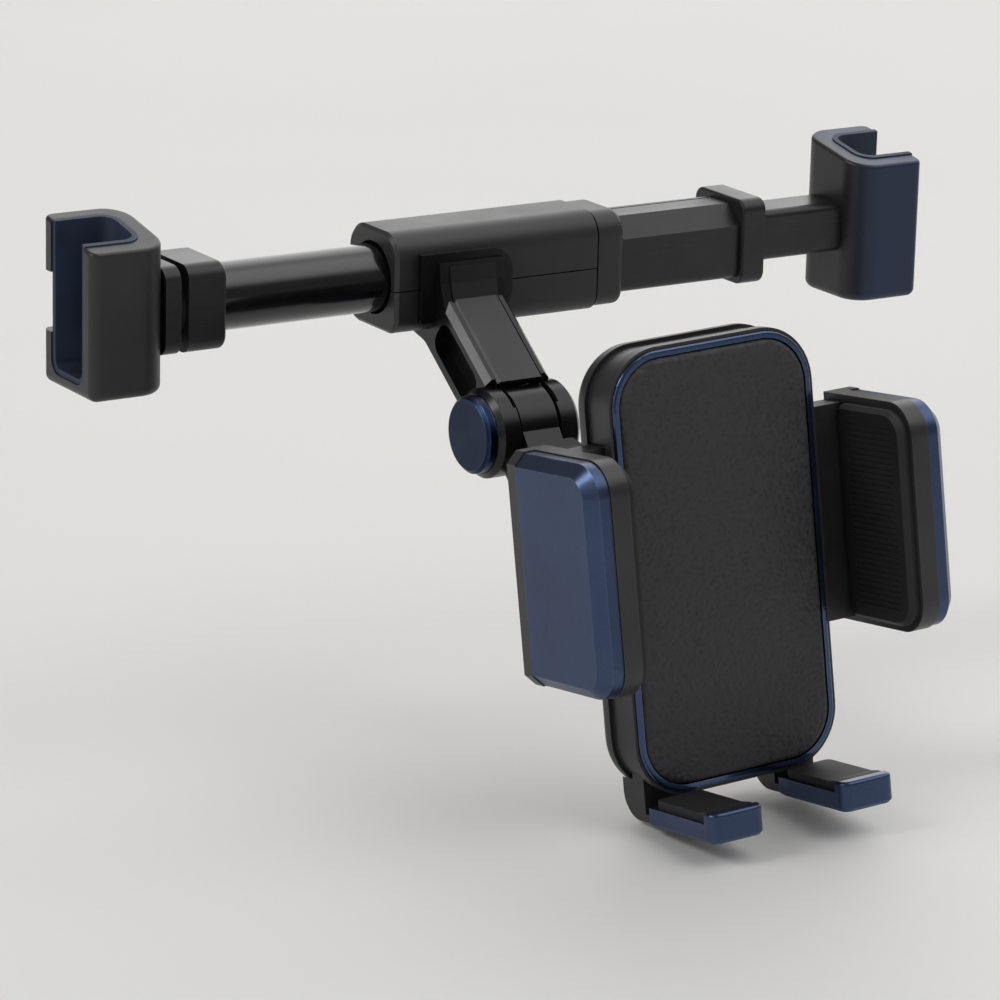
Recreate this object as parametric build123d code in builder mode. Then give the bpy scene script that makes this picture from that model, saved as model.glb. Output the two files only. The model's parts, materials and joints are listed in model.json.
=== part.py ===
"""Headrest phone mount: telescopic bar with two post hooks, arm, tilt knuckle, ball neck and phone cradle.

Row frame: millimetres, +Z up, +X to the right along the bar, -Y towards the passenger.
The origin lies on the axis of the bar, midway between the two headrest posts.
Cradle parts are drawn in the cradle's own frame (x right, y away from the passenger, z up,
origin in the middle of the front trim ring) and are then placed by CRADLE.
"""
from build123d import *
from math import cos, sin, pi, radians
import os

os.makedirs("parts", exist_ok=True)

# Fits and general gaps
run_fit = 0.05          # radial clearance of turning and sliding fits
rest_fit = 0.05         # clearance between two pieces that stay together
seam = 0.3              # visible joint line between housing halves and cradle layers
side_play = 0.1         # axial play of turning pieces

# Bar
post_spacing = 210.6    # distance between the two post axes as drawn
tube_r = 7.9            # left tube, outside radius
tube_wall = 1.9
big_half = 8.8          # right tube, half width of its eight-sided section
big_chamfer = 4.6       # broad bevels along its top
big_corner = 2.0        # rounding along its underside
bar_half = 6.1          # inner square bar, half width
bar_corner = 1.9
neck_half = 8.7         # round neck of the right tube under the lock collar
rib_count = 6           # grip grooves along the top of the tubes
rib_step = 11.0
rib_r = 0.45

# Telescopic positions along X
house_x0 = -34.5
house_x1 = 20.0
ring_x1 = 28.0
stop_x = 9.0            # wall between the two tube bores
left_tube_in = -16.0    # inner end of the left tube
big_x1 = 61.5           # shoulder where the lock collar begins
collar_len = 6.6
bar_in = 33.0           # inner end of the square bar

# Hooks
hook_len = 19.5
hook_front = -12.4
hook_back = 11.6
hook_bottom = -17.8
hook_top_back = 20.4
hook_top_front = 15.8
hook_corner = 6.6       # corners towards the bar
hook_mouth_corner = 2.2
hook_foot_r = 2.0
hook_rim_r = 0.9
hook_leg_r = 3.2        # top corner of the front leg at the mouth
hook_floor = 3.1
liner_t = 1.3
liner_rim = 0.3
liner_floor = 1.0
liner_back = 0.4        # the liner ends this far inside the mouth
post_bore_r = 6.1       # bore for a headrest post of 12 mm
pocket_half = 6.5       # half width of the pocket above the bore
pocket_corner = 3.2
pocket_foot = 2.2
pocket_y = -0.4
mouth_lip = 1.3
notch_z0 = -5.7
notch_z1 = 7.9
notch_depth = 6.5

post_x = post_spacing / 2
hook_mouth_x = post_x + post_bore_r + mouth_lip
hook_web_x = hook_mouth_x - hook_len

# Left socket
socket_len = 15.5
socket_half = 10.1
socket_corner = 3.6
socket_neck = 3.8
socket_groove = 2.0
socket_groove_depth = 1.6
socket_bore_depth = 13.0
socket_screw_in = 6.5   # from the open end of the socket
socket_screw_r = 1.3
key_w = 3.0             # keyway along the underside of the left tube
key_depth = 1.0

# Housing
house_half_y = 10.8
house_bottom = -11.8
house_top = 11.6
house_split = -1.4
house_r_top = 6.0
house_r_bottom = 4.2
ring_inset = 0.5
ring_gap = 0.7          # groove between housing and end ring
ring_round = 1.6
wall_gap = 0.9          # from the tube stop to the wide bore
house_screw_x = (-27.0, 13.5)
house_screw_r = 1.9
house_screw_len = 2.1

# Lock collar
collar_half = 10.3
collar_corner = 3.0
snap_t = 0.8
snap_depth = 0.5
snap_out = 0.3          # the snap ring stands this far past the neck's flats

# Arm and knuckle
arm_x = -15.9
arm_w = 17.0
arm_slope = 36.3        # degrees below the horizontal
arm_over = 9.5          # top face above the knuckle axis, across the arm
arm_under = -4.0        # lower edge
arm_bend = -31.0        # along the arm: here the top turns upwards
arm_bend_y = -13.7
arm_bend_z = 0.2
arm_crest_y = -13.1
arm_crest_z = 4.9
recess_back = -28.5     # upper end of the side recesses, along the arm
arm_nose = -7.5
arm_heel = -31.0
arm_top_chamfer = 1.4
saddle_y = 3.0          # the root reaches this far under the housing
arch_w = 24.5
arch_top = 7.0
arch_low = -9.0
arch_y = -12.4
arch_r = 6.0
root_y = -7.0
knuckle_y = -34.5
knuckle_z = -29.7
lug_r = 10.3
lug_chamfer = 1.2
fork_w = 21.6
tongue_w = 9.6
washer_t = 0.55
washer_r = 8.6
bolt_r = 3.0
knob_r = 8.9
knob_t = 2.6
knob_bevel = 0.8
knob_skin = 1.2         # metal left over the end of the bolt
cover_w = 12.0
cover_t = 1.6
cover_proud = 0.4
cover_rim = 0.9         # rim of the arm above the cover
cover_end = -6.3        # lower end of the cover, along the arm
side_recess = 3.6
nut_half = 4.6
nut_t = 3.4

# Cradle pose
cradle_x = -2.0
cradle_y = -97.7
cradle_z = -45.9
cradle_lean = 8.2       # the top leans away from the passenger
cradle_roll = 2.2       # turned about its own face

# Cradle body
face_w = 53.5
face_h = 99.0
face_r = 13.0
body_t = 14.5
bezel_t = 3.4
back_t = 4.9
bezel_rim = 0.7         # bezel left outside the trim ring
bezel_round = 0.8
back_round = 3.6
ring_w = 2.2
ring_proud = 0.7
ring_sink = 1.4
pad_proud = 1.3
pad_sink = 1.6
layer_inset = 0.9

# Jaws
jaw_open = 69.0         # width between the two rubber pads
jaw_z = 5.0
jaw_h = 51.6
jaw_front = -21.5
jaw_back = 10.5
jaw_pad_t = 2.5
jaw_core_t = 4.5        # black plate between pad and shell
jaw_shell_t = 5.4       # coloured shell
jaw_t = jaw_pad_t + jaw_core_t + jaw_shell_t
jaw_front_r = 7.5
jaw_back_r = 2.0
plate_edge = 17.0       # inner edge of a slide plate as drawn
shell_back = 7.2        # the core stands behind the shell from here on
shell_inset = 0.35
shell_bevel = 2.6
jaw_screw_r = 1.2
jaw_head_r = 1.75
jaw_head_t = 1.6
jaw_screw_y = 5.1
jaw_screw_in = 6.0      # from the upper and lower edge of the slide plate
jaw_screw_len = 5.5     # length inside the slide plate
channel_len = 8.2
channel_gap = 0.4
rib_pitch = 1.3
rib_w = 0.4
rib_depth = 0.25
pad_edge = 4.6          # ribs end this far from the pad's ends

# Rack and pinion
gear_module = 1.0
gear_teeth = 12
gear_pitch_r = gear_module * gear_teeth / 2
tooth_add = 0.75
tooth_ded = 1.15
tooth_tip = 0.55
tooth_root = 1.5
rack_back = 3.2
rack_reach = 13.5
pin_r = 2.0

# Feet
foot_x = 17.3
foot_w = 13.8
foot_front = -24.1
foot_rear = 0.6
foot_drop = 5.6         # underside of the feet below the face
foot_t = 4.2
foot_corner = 2.4
lip_rise = 2.5
lip_t = 3.4
foot_pad_t = 1.9
foot_pad_lip = 1.3      # thickness of the pad behind the lip
foot_pad_rise = 2.3     # height of the pad behind the lip above the foot
strut_w = 10.8
strut_y0 = 4.4
strut_y1 = 8.6
strut_in = 7.5          # length of a strut inside the body
strut_rear = 12.6
shoulder_in = 4.5       # the heel starts this far above the lower edge
strut_corner = 6.0
strut_toe = 12.0        # length of the strut under the coloured shell
strut_toe_t = 1.8

# Ball neck
ball_r = 7.5
ball_out = 8.5          # ball centre behind the cradle back
seat_gap = 0.6
neck_r = 3.8
seat_r = 10.5
seat_flange_r = 12.6
seat_flange_t = 2.0
hub_r = 16.0
hub_t = 5.5
hub_screw_at = 9.9
hub_screw_r = 1.4
seat_end = 4.2
nut_ring_r = 13.0
nut_lip = 3.6           # the lock ring covers this much of the seat's end
link_gap = 11.0
link_reach = 30.0       # larger than the bracket on every side
stud_r = 3.0
stud_len = 8.0
stud_flange_r = 6.0

half_w = face_w / 2
half_h = face_h / 2
ball_y = body_t + ball_out
foot_bottom = -half_h - foot_drop
foot_top = foot_bottom + foot_t
lip_top = foot_top + lip_rise
strut_top = -half_h + strut_in
strut_shoulder = -half_h + shoulder_in

cradle_axes = Rot(cradle_lean * -1, 0, 0) * Rot(0, -cradle_roll, 0)
CRADLE = Location((cradle_x, cradle_y, cradle_z)) * cradle_axes


def save(part, label):
    """Write one piece that is already in the row frame."""
    part.label = label
    export_step(part, "parts/" + label + ".step")


def save_cradle(part, label):
    """Place a piece drawn in the cradle frame and write it."""
    save(CRADLE * part, label)


def block(x0, x1, y0, y1, z0, z1, mode=Mode.ADD):
    """Axis-aligned box given by its limits."""
    with Locations(((x0 + x1) / 2, (y0 + y1) / 2, (z0 + z1) / 2)):
        Box(abs(x1 - x0), abs(y1 - y0), abs(z1 - z0), mode=mode)


def rod_x(x0, x1, y, z, r, mode=Mode.ADD):
    """Cylinder along X."""
    with Locations(Location(((x0 + x1) / 2, y, z), (0, 90, 0))):
        Cylinder(r, abs(x1 - x0), mode=mode)


def rod_y(x, y0, y1, z, r, mode=Mode.ADD):
    """Cylinder along Y."""
    with Locations(Location((x, (y0 + y1) / 2, z), (90, 0, 0))):
        Cylinder(r, abs(y1 - y0), mode=mode)


def section_plane(x):
    """Plane across the bar at x, its sketch axes are Y and Z."""
    return Plane(origin=(x, 0, 0), x_dir=(0, 1, 0), z_dir=(1, 0, 0))


def tube_section(grow):
    """Section of the right tube: bevels along the top, rounded underside."""
    half = big_half + grow
    with BuildSketch(mode=Mode.PRIVATE) as outline:
        rect = Rectangle(2 * half, 2 * half)
        chamfer(rect.vertices().sort_by(Axis.Y)[2:], big_chamfer)
        fillet(outline.vertices().sort_by(Axis.Y)[:2], big_corner)
    return outline.sketch


def round_square(half, corner):
    """Square section with rounded corners."""
    RectangleRounded(2 * half, 2 * half, corner)


# Hooks

def hook_slope(grow, mode):
    """Wedge above the sloping top of a hook, raised by grow."""
    reach = hook_mouth_x + 5
    high = 3 * hook_top_back
    steep = (hook_top_back - hook_top_front) / (hook_back - hook_front)
    low_end = (2 * hook_front, hook_top_front + grow + steep * hook_front)
    high_end = (2 * hook_back, hook_top_back + grow + steep * hook_back)
    with BuildSketch(section_plane(-reach)) as wedge:
        with BuildLine():
            Polyline(low_end, high_end, (2 * hook_back, high), (2 * hook_front, high), close=True)
        make_face()
    extrude(wedge.sketch, amount=2 * reach, mode=mode)


def post_space(side, grow):
    """Space for the post: open at the mouth and at the top, rounded towards the bar and at its foot."""
    floor_z = hook_bottom + hook_floor + liner_floor - grow
    inner = side * (post_x - pocket_half - grow)
    outer = side * (hook_mouth_x + hook_len)
    with BuildPart() as space:
        block(inner, outer, pocket_y - pocket_half - grow, pocket_y + pocket_half + grow, floor_z,
              2 * hook_top_back)
        fillet(space.edges().filter_by(Axis.Z), pocket_corner + grow)
        fillet(space.faces().sort_by(Axis.Z)[0].edges(), pocket_foot + grow)
    return space.part


def hook_shell(side):
    """Hook body with a closed foot, a notch in the back leg and a bore for the post."""
    xa = side * hook_web_x
    xb = side * hook_mouth_x
    space = post_space(side, liner_t + rest_fit)
    with BuildPart() as shell:
        with BuildSketch(Plane.XY.offset(hook_bottom)) as outline:
            with Locations(((xa + xb) / 2, (hook_front + hook_back) / 2)):
                Rectangle(hook_len, hook_back - hook_front)
            by_reach = outline.vertices().sort_by(lambda v: abs(v.X))
            fillet(by_reach[:2], hook_corner)
            fillet(outline.vertices().sort_by(lambda v: abs(v.X))[-2:], hook_mouth_corner)
        extrude(amount=2 * hook_top_back - hook_bottom)
        fillet(shell.faces().sort_by(Axis.Z)[0].edges(), hook_foot_r)
        hook_slope(0, Mode.SUBTRACT)
        fillet(shell.faces().sort_by(Axis.Z)[-1].edges(), hook_rim_r)
        add(space, mode=Mode.SUBTRACT)
        with Locations((side * post_x, pocket_y, hook_bottom)):
            Cylinder(post_bore_r, 4 * hook_floor, mode=Mode.SUBTRACT)
        block(side * (hook_mouth_x - notch_depth), side * (hook_mouth_x + 2), pocket_y + pocket_half,
              2 * hook_back, notch_z0, notch_z1, Mode.SUBTRACT)
    return shell.part


def hook_liner(side):
    """Soft U-shaped liner with a floor, it stands a little proud of the shell."""
    outside = post_space(side, liner_t)
    inside = post_space(side, 0)
    with BuildPart() as liner:
        add(outside)
        block(side * (hook_mouth_x - liner_back), side * (hook_mouth_x + 3 * hook_len), -3 * hook_len,
              3 * hook_len, 2 * hook_bottom, 5 * hook_top_back, Mode.SUBTRACT)
        hook_slope(liner_rim, Mode.SUBTRACT)
        add(inside, mode=Mode.SUBTRACT)
        with Locations((side * post_x, pocket_y, hook_bottom)):
            Cylinder(post_bore_r, 4 * hook_floor, mode=Mode.SUBTRACT)
    return liner.part


save(hook_shell(-1), "left_hook_shell")
save(hook_liner(-1), "left_hook_liner")
save(hook_shell(1), "right_hook_shell")
save(hook_liner(1), "right_hook_liner")

# Left tube and socket
socket_x0 = -hook_web_x
socket_x1 = socket_x0 + socket_len
left_tube_out = socket_x1 - socket_bore_depth
screw_x = socket_x1 - socket_screw_in


def grip_grooves(x0, x1, radius):
    """Fine grooves along the top rear of a tube."""
    with BuildSketch(section_plane(x0)) as grooves:
        for i in range(rib_count):
            a = radians(72 - i * rib_step)
            with Locations((radius * cos(a), radius * sin(a))):
                Circle(rib_r)
    extrude(grooves.sketch, amount=x1 - x0, mode=Mode.SUBTRACT)


with BuildPart() as left_tube:
    with BuildSketch(section_plane(left_tube_out)):
        Circle(tube_r)
        Circle(tube_r - tube_wall, mode=Mode.SUBTRACT)
    extrude(amount=left_tube_in - left_tube_out)
    grip_grooves(socket_x1, left_tube_in, tube_r)
    # keyway along the underside
    block(left_tube_out, left_tube_in, -key_w / 2, key_w / 2, -tube_r - 1, -tube_r + key_depth, Mode.SUBTRACT)
save(left_tube.part, "left_tube")

with BuildPart() as left_socket:
    with BuildSketch(section_plane(socket_x0)):
        round_square(socket_half, socket_corner)
    extrude(amount=socket_len)
    fillet(left_socket.faces().sort_by(Axis.X)[-1].edges(), 1.2)
    # groove between the neck and the socket body
    groove_x = socket_x0 + socket_neck
    with BuildSketch(section_plane(groove_x)):
        Rectangle(4 * socket_half, 4 * socket_half)
        Circle(socket_half - socket_groove_depth, mode=Mode.SUBTRACT)
    extrude(amount=socket_groove, mode=Mode.SUBTRACT)
    rod_x(left_tube_out - rest_fit, socket_x1 + 1, 0, 0, tube_r + rest_fit, Mode.SUBTRACT)
    # screw hole from below, the screw tip sits in the keyway
    with Locations((screw_x, 0, -socket_half)):
        Cylinder(socket_screw_r + rest_fit, 2 * (socket_half - tube_r) + 3, mode=Mode.SUBTRACT)
save(left_socket.part, "left_socket")

with BuildPart() as socket_screw:
    screw_top = -tube_r + key_depth - 0.1
    screw_low = -socket_half + 0.4
    with Locations((screw_x, 0, (screw_top + screw_low) / 2)):
        Cylinder(socket_screw_r, screw_top - screw_low)
    with BuildSketch(Plane.XY.offset(screw_low)):
        with Locations((screw_x, 0)):
            RegularPolygon(0.75, 6)
    extrude(amount=1.2, mode=Mode.SUBTRACT)
save(socket_screw.part, "socket_screw")

# Housing


def housing_section(inset):
    """Section of the centre housing: flat top, round shoulders, shrunk by inset."""
    half = house_half_y - inset
    low = house_bottom + inset
    high = house_top - inset
    with BuildSketch(mode=Mode.PRIVATE) as outline:
        with Locations((0, (low + high) / 2)):
            rect = Rectangle(2 * half, high - low)
        fillet(rect.vertices().sort_by(Axis.Y)[2:], house_r_top - inset)
        fillet(outline.vertices().sort_by(Axis.Y)[:2], house_r_bottom - inset)
    return outline.sketch


def housing_half(low, high, screw_side):
    """One half of the housing, between two heights."""
    with BuildPart() as half:
        with BuildSketch(section_plane(house_x0)):
            add(housing_section(0))
        extrude(amount=house_x1 - house_x0)
        chamfer(half.faces().sort_by(Axis.X)[0].edges(), 0.8)
        block(house_x0 - 1, house_x1 + 1, -40, 40, low - 40, low, Mode.SUBTRACT)
        block(house_x0 - 1, house_x1 + 1, -40, 40, high, high + 40, Mode.SUBTRACT)
        rod_x(house_x0 - 1, stop_x, 0, 0, tube_r + run_fit, Mode.SUBTRACT)
        with BuildSketch(section_plane(stop_x + wall_gap)):
            add(tube_section(rest_fit))
        extrude(amount=house_x1 - stop_x, mode=Mode.SUBTRACT)
        # entry bevel round the left tube
        with Locations(Location((house_x0, 0, 0), (0, 90, 0))):
            Cone(tube_r + 1.3, tube_r + run_fit, 2.4, mode=Mode.SUBTRACT)
        if screw_side:
            block(house_x0 + 4, stop_x - 4, -key_w / 2 + 0.1, key_w / 2 - 0.1, -tube_r - 0.5,
                  -tube_r + key_depth - 0.15)
            for x in house_screw_x:
                with Locations((x, 0, house_bottom)):
                    Cylinder(house_screw_r + rest_fit, 5.0, mode=Mode.SUBTRACT)
    return half.part


save(housing_half(house_split + seam / 2, house_top + 1, False), "housing_upper")
save(housing_half(house_bottom - 1, house_split - seam / 2, True), "housing_lower")


def pan_screw(x, r, low, length):
    """Socket-head screw pointing up from below."""
    with BuildPart() as screw:
        with Locations((x, 0, low + length / 2)):
            Cylinder(r, length)
        with BuildSketch(Plane.XY.offset(low)):
            with Locations((x, 0)):
                RegularPolygon(r * 0.55, 6)
        extrude(amount=1.1, mode=Mode.SUBTRACT)
    return screw.part


save(pan_screw(house_screw_x[0], house_screw_r, house_bottom + 0.3, house_screw_len), "housing_screw_left")
save(pan_screw(house_screw_x[1], house_screw_r, house_bottom + 0.3, house_screw_len),
     "housing_screw_right")

with BuildPart() as end_ring:
    with BuildSketch(section_plane(house_x1 + ring_gap)):
        add(housing_section(ring_inset))
    extrude(amount=ring_x1 - house_x1 - ring_gap)
    fillet(end_ring.faces().sort_by(Axis.X)[-1].edges(), ring_round)
    with BuildSketch(section_plane(house_x1)):
        add(tube_section(rest_fit))
    extrude(amount=ring_x1 - house_x1 + 1, mode=Mode.SUBTRACT)
save(end_ring.part, "end_ring")

# Right tube, collar, square bar
neck_end = big_x1 + side_play + collar_len
snap_x = neck_end - 1.6

with BuildPart() as right_tube:
    with BuildSketch(section_plane(stop_x + wall_gap + rest_fit)):
        add(tube_section(0))
    extrude(amount=big_x1 - stop_x - wall_gap - rest_fit)
    grip_grooves(ring_x1 + 0.2, big_x1 - 1.0, big_half + 0.1)
    rod_x(big_x1, neck_end, 0, 0, neck_half)
    with BuildSketch(section_plane(stop_x)):
        bore = Rectangle(2 * (bar_half + run_fit), 2 * (bar_half + run_fit))
        fillet(bore.vertices(), bar_corner)
    extrude(amount=neck_end - stop_x + 1, mode=Mode.SUBTRACT)
    # groove for the snap ring
    with BuildSketch(section_plane(snap_x)):
        Circle(2 * big_half)
        Circle(neck_half - snap_depth, mode=Mode.SUBTRACT)
    extrude(amount=snap_t + rest_fit, mode=Mode.SUBTRACT)
save(right_tube.part, "right_tube")

with BuildPart() as snap_ring:
    with BuildSketch(section_plane(snap_x)):
        Circle(neck_half + snap_out)
        Circle(neck_half - snap_depth + rest_fit, mode=Mode.SUBTRACT)
        with Locations((0, -big_half)):
            Rectangle(3.0, 4.0, mode=Mode.SUBTRACT)
    extrude(amount=snap_t)
save(snap_ring.part, "snap_ring")

with BuildPart() as lock_collar:
    with BuildSketch(section_plane(big_x1 + side_play)):
        round_square(collar_half, collar_corner)
    extrude(amount=collar_len)
    for end in (0, -1):
        fillet(lock_collar.faces().sort_by(Axis.X)[end].edges(), 0.6)
    rod_x(big_x1 - 1, neck_end + 1, 0, 0, neck_half + run_fit, Mode.SUBTRACT)
    rod_x(snap_x - side_play, neck_end + 1, 0, 0, neck_half + snap_out + side_play, Mode.SUBTRACT)
save(lock_collar.part, "lock_collar")

with BuildPart() as inner_bar:
    with BuildSketch(section_plane(bar_in)):
        profile = Rectangle(2 * bar_half, 2 * bar_half)
        fillet(profile.vertices(), bar_corner)
    extrude(amount=hook_web_x - bar_in)
    chamfer(inner_bar.faces().sort_by(Axis.X)[0].edges(), 0.8)
save(inner_bar.part, "inner_bar")

# Arm and knuckle
slope = radians(arm_slope)
arm_dir = (-cos(slope), -sin(slope))
arm_up = (-sin(slope), cos(slope))
cover_top = arm_crest_z - cover_rim


def arm_point(along, over):
    """Point of the arm's side view, from the knuckle axis: along the arm, and over it."""
    y = knuckle_y + along * arm_dir[0] + over * arm_up[0]
    z = knuckle_z + along * arm_dir[1] + over * arm_up[1]
    return (y, z)


def arm_top(over, crest_z, end):
    """Line along the arm's top at a height over it, from the crest at the root down to an end."""
    return [(arm_crest_y - over, crest_z), (arm_bend_y - over, arm_bend_z),
            arm_point(arm_bend, arm_over + over), arm_point(end, arm_over + over)]


with BuildPart() as arm_body:
    with BuildSketch(section_plane(arm_x - arm_w / 2)):
        with BuildLine():
            Polyline((root_y, arm_crest_z), *arm_top(0, arm_crest_z, arm_nose),
                     arm_point(arm_nose + 1.0, arm_over - 3.0), arm_point(0, 0), arm_point(arm_nose, arm_under),
                     arm_point(arm_heel, arm_under), (saddle_y, house_bottom - 0.4), (saddle_y, house_bottom + 3),
                     (root_y, house_bottom + 3), close=True)
        side_view = make_face()
        fillet(side_view.vertices().sort_by_distance((*arm_point(arm_heel, arm_under), 0))[0], 5.0)
    extrude(amount=arm_w)
    rim = arm_body.edges().filter_by(Axis((0, 0, 0), (0, arm_dir[0], arm_dir[1])))
    rim = rim.sort_by(Axis((0, 0, 0), (0, arm_up[0], arm_up[1])))[-2:]
    chamfer(rim, arm_top_chamfer)
    # root arch against the front of the housing
    with BuildSketch(Plane(origin=(arm_x - 0.6, root_y, 0), x_dir=(1, 0, 0), z_dir=(0, -1, 0))):
        with Locations((0, (arch_top + arch_low) / 2)):
            arch = Rectangle(arch_w, arch_top - arch_low)
        fillet(arch.vertices().sort_by(Axis.Z)[2:], arch_r)
    extrude(amount=root_y - arch_y)
    # the root follows the housing
    with BuildSketch(section_plane(house_x0 - 1)):
        add(housing_section(-rest_fit))
    extrude(amount=house_x1 - house_x0, mode=Mode.SUBTRACT)
    # lugs
    rod_x(arm_x - fork_w / 2, arm_x + fork_w / 2, knuckle_y, knuckle_z, lug_r)
    for end in (0, -1):
        round_edges = arm_body.edges().filter_by(GeomType.CIRCLE)
        round_edges = round_edges.filter_by(lambda e: abs(e.radius - lug_r) < 0.01)
        chamfer(round_edges.sort_by(Axis.X)[end], lug_chamfer)
    # slot for the tongue
    slot_half = tongue_w / 2 + washer_t + side_play
    rod_x(arm_x - slot_half, arm_x + slot_half, knuckle_y, knuckle_z, lug_r + 0.6, Mode.SUBTRACT)
    with BuildSketch(section_plane(arm_x - slot_half)):
        with BuildLine():
            Polyline(arm_point(-6, -2), arm_point(-6, -30), arm_point(40, -30), arm_point(40, 3.4), arm_point(0, 3.4),
                     close=True)
        make_face()
    extrude(amount=2 * slot_half, mode=Mode.SUBTRACT)
    # bolt bore and nut pocket
    rod_x(arm_x - fork_w, arm_x + fork_w, knuckle_y, knuckle_z, bolt_r + run_fit, Mode.SUBTRACT)
    with BuildSketch(section_plane(arm_x + fork_w / 2 - nut_t)):
        with Locations((knuckle_y, knuckle_z)):
            RegularPolygon(nut_half + rest_fit, 6)
    extrude(amount=nut_t + 1, mode=Mode.SUBTRACT)
    # recess for the cover
    with BuildSketch(section_plane(arm_x - cover_w / 2 - rest_fit)):
        with BuildLine():
            Polyline(*arm_top(-cover_t - rest_fit, cover_top + rest_fit, arm_nose + 9),
                     *reversed(arm_top(9, cover_top + rest_fit, arm_nose + 9)), close=True)
        make_face()
    extrude(amount=cover_w + 2 * rest_fit, mode=Mode.SUBTRACT)
    # side recesses
    for side in (-1, 1):
        with BuildSketch(section_plane(arm_x + side * (arm_w / 2 - side_recess))):
            with BuildLine():
                Polyline(arm_point(recess_back, arm_over - 2.9), arm_point(-9.0, arm_over - 2.9),
                         arm_point(-9.0, arm_under + 2.0), arm_point(recess_back, arm_under + 2.0), close=True)
            pocket = make_face()
            fillet(pocket.vertices(), 3.2)
        extrude(amount=side * (side_recess + 1), mode=Mode.SUBTRACT)
save(arm_body.part, "arm_body")

with BuildPart() as arm_cover:
    with BuildSketch(section_plane(arm_x - cover_w / 2)):
        with BuildLine():
            Polyline(*arm_top(-cover_t, cover_top, cover_end),
                     *reversed(arm_top(cover_proud, cover_top, cover_end)), close=True)
        make_face()
    extrude(amount=cover_w)
    long_edges = arm_cover.edges().filter_by(Axis((0, 0, 0), (0, arm_dir[0], arm_dir[1])))
    top_long = long_edges.sort_by(Axis((0, 0, 0), (0, arm_up[0], arm_up[1])))[-2:]
    chamfer(top_long, 0.6)
save(arm_cover.part, "arm_cover")

for side, label in ((-1, "left"), (1, "right")):
    with BuildPart() as washer:
        x = arm_x + side * (tongue_w / 2 + side_play / 2)
        rod_x(x, x + side * washer_t, knuckle_y, knuckle_z, washer_r)
        rod_x(x - side, x + side * 2, knuckle_y, knuckle_z, bolt_r + run_fit, Mode.SUBTRACT)
    save(washer.part, "friction_washer_" + label)

nut_x = arm_x + fork_w / 2 - nut_t
with BuildPart() as knuckle_nut:
    with BuildSketch(section_plane(nut_x)):
        with Locations((knuckle_y, knuckle_z)):
            RegularPolygon(nut_half, 6)
            Circle(bolt_r + run_fit, mode=Mode.SUBTRACT)
    extrude(amount=nut_t - 0.3)
save(knuckle_nut.part, "knuckle_nut")

knob_x = arm_x - fork_w / 2 - side_play
with BuildPart() as clamp_knob:
    rod_x(knob_x, knob_x - knob_t, knuckle_y, knuckle_z, knob_r)
    chamfer(clamp_knob.faces().sort_by(Axis.X)[0].edges(), knob_bevel)
    rod_x(knob_x + 1, knob_x - knob_t + knob_skin, knuckle_y, knuckle_z, bolt_r + run_fit, Mode.SUBTRACT)
save(clamp_knob.part, "clamp_knob")

with BuildPart() as clamp_bolt:
    rod_x(knob_x - knob_t + knob_skin + side_play, nut_x + nut_t - 0.8, knuckle_y, knuckle_z, bolt_r)
    chamfer(clamp_bolt.faces().sort_by(Axis.X)[-1].edges(), 0.4)
save(clamp_bolt.part, "clamp_bolt")

# Bracket and ball
face_frame = Plane(CRADLE)
away = CRADLE * Location((0, ball_y + link_gap, 0))
ball_at = CRADLE * Location((0, ball_y, 0))
end_y = away.position.Y
end_z = away.position.Z

with BuildPart() as bracket:
    # side view, wider than needed
    with BuildSketch(section_plane(arm_x - link_reach)):
        with BuildLine():
            Polyline((knuckle_y - 5, knuckle_z + 8.0), (knuckle_y - 12.5, knuckle_z - 1.5), (end_y, end_z + 9.2),
                     (end_y, end_z - 7.4), (end_y + 7, end_z - 7.4), (knuckle_y - 2.5, knuckle_z - 9.4), close=True)
        make_face()
        with Locations((knuckle_y, knuckle_z)):
            Circle(lug_r - 0.4)
    extrude(amount=2 * link_reach)
    # plan view: cranked from the knuckle to the middle of the cradle
    with BuildSketch(Plane.XY.offset(end_z - 30)):
        with BuildLine():
            Polyline((arm_x - tongue_w / 2, knuckle_y + 20), (arm_x - tongue_w / 2, knuckle_y - 12.5),
                     (cradle_x - 8.5, end_y + 9), (cradle_x - 8.5, end_y - 6), (cradle_x + 8.5, end_y - 6),
                     (cradle_x + 8.5, end_y + 9), (arm_x + tongue_w / 2 + 2.5, knuckle_y - 11.5),
                     (arm_x + tongue_w / 2, knuckle_y - 11.5), (arm_x + tongue_w / 2, knuckle_y + 20), close=True)
        make_face()
    extrude(amount=80, mode=Mode.INTERSECT)
    rod_x(arm_x - 20, arm_x + 20, knuckle_y, knuckle_z, bolt_r + run_fit, Mode.SUBTRACT)
    # flat end face and threaded hole for the ball stud
    with BuildSketch(Plane(away.position, x_dir=(1, 0, 0), z_dir=face_frame.y_dir * -1)):
        Rectangle(4 * link_reach, 4 * link_reach)
    extrude(amount=2 * link_reach, mode=Mode.SUBTRACT)
    with BuildSketch(Plane(away.position, x_dir=(1, 0, 0), z_dir=face_frame.y_dir)):
        Circle(stud_r + rest_fit)
    extrude(amount=stud_len + 0.5, mode=Mode.SUBTRACT)
save(bracket.part, "bracket")

# Ball stud and its seat


def face_plane(y):
    """Sketch plane of the cradle frame at depth y: sketch axes are x and z, normal away from the passenger."""
    return Plane(origin=(0, y, 0), x_dir=(-1, 0, 0), z_dir=(0, 1, 0))


with BuildPart() as ball_stud:
    with Locations((0, ball_y, 0)):
        Sphere(ball_r)
    rod_y(0, ball_y, ball_y + link_gap, 0, neck_r)
    rod_y(0, ball_y + link_gap - 1.6, ball_y + link_gap, 0, stud_flange_r)
    rod_y(0, ball_y + link_gap, ball_y + link_gap + stud_len, 0, stud_r)
save_cradle(ball_stud.part, "ball_stud")

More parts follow.
